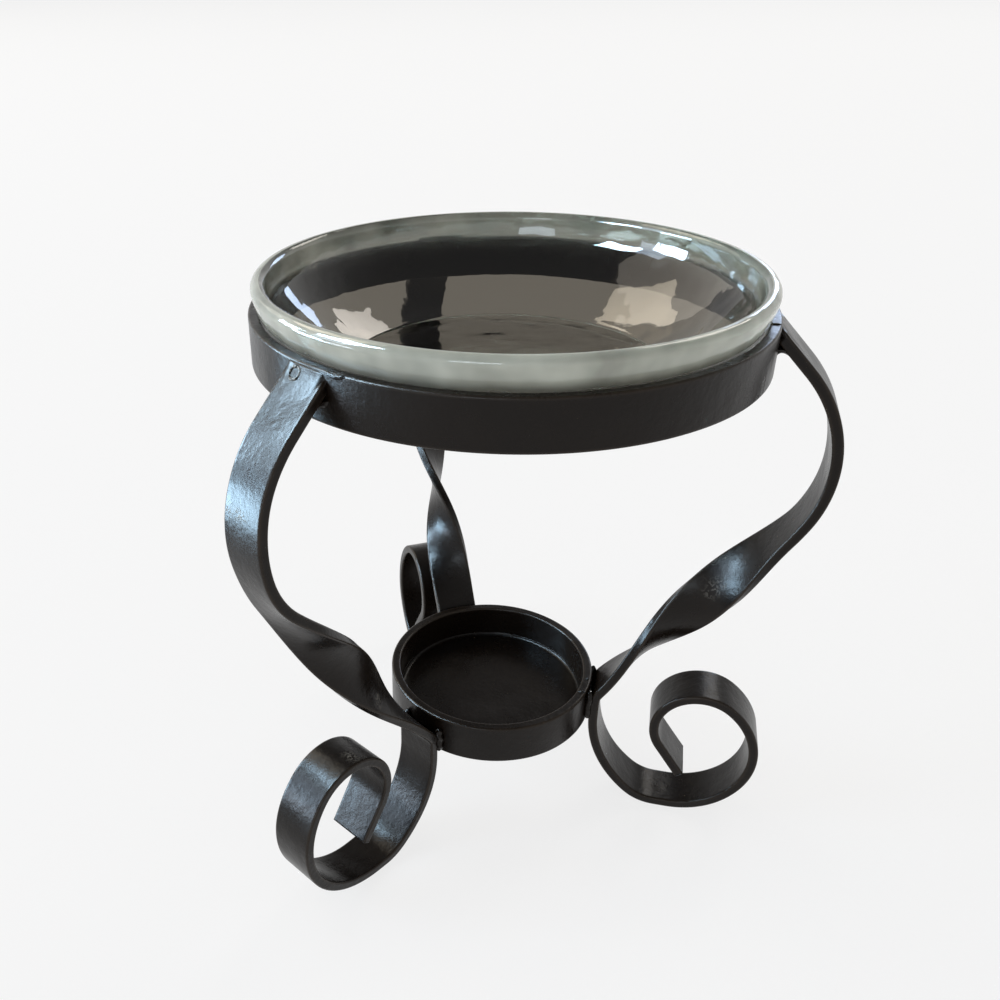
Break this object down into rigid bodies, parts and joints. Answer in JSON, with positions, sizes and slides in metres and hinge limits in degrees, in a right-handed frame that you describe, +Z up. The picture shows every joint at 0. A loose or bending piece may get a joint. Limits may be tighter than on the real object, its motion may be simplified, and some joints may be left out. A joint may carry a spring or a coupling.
{
  "type": "oil warmer",
  "caption": "Oil warmer of bent flat steel: scrolled, twisted legs hold a candle cup below a ring that carries a loose glass dish.",
  "frame": {"origin": "middle of the bounding box, on the surface that the three scroll feet stand on", "axes": "+Z up; +Y towards the back leg; -Y towards the viewer, between the two front legs"},
  "size_m": [0.1238, 0.1198, 0.1339],
  "materials": {
    "painted_steel": "semi-gloss black-brown paint over flat steel strip",
    "clear_glass": "pressed clear glass with a faint grey-green tint"
  },
  "bodies": {
    "stand": {"top_ring": "painted_steel", "cup_wall": "painted_steel", "cup_floor": "painted_steel", "leg_front_right": "painted_steel", "leg_front_left": "painted_steel", "leg_back": "painted_steel"},
    "dish": {"glass_dish": "clear_glass"}
  },
  "joints": [
    {"name": "dish_lift", "type": "slide", "parent": "stand", "child": "dish", "axis": [0, 0, 1], "range_m": [0, 0.045]}
  ]
}
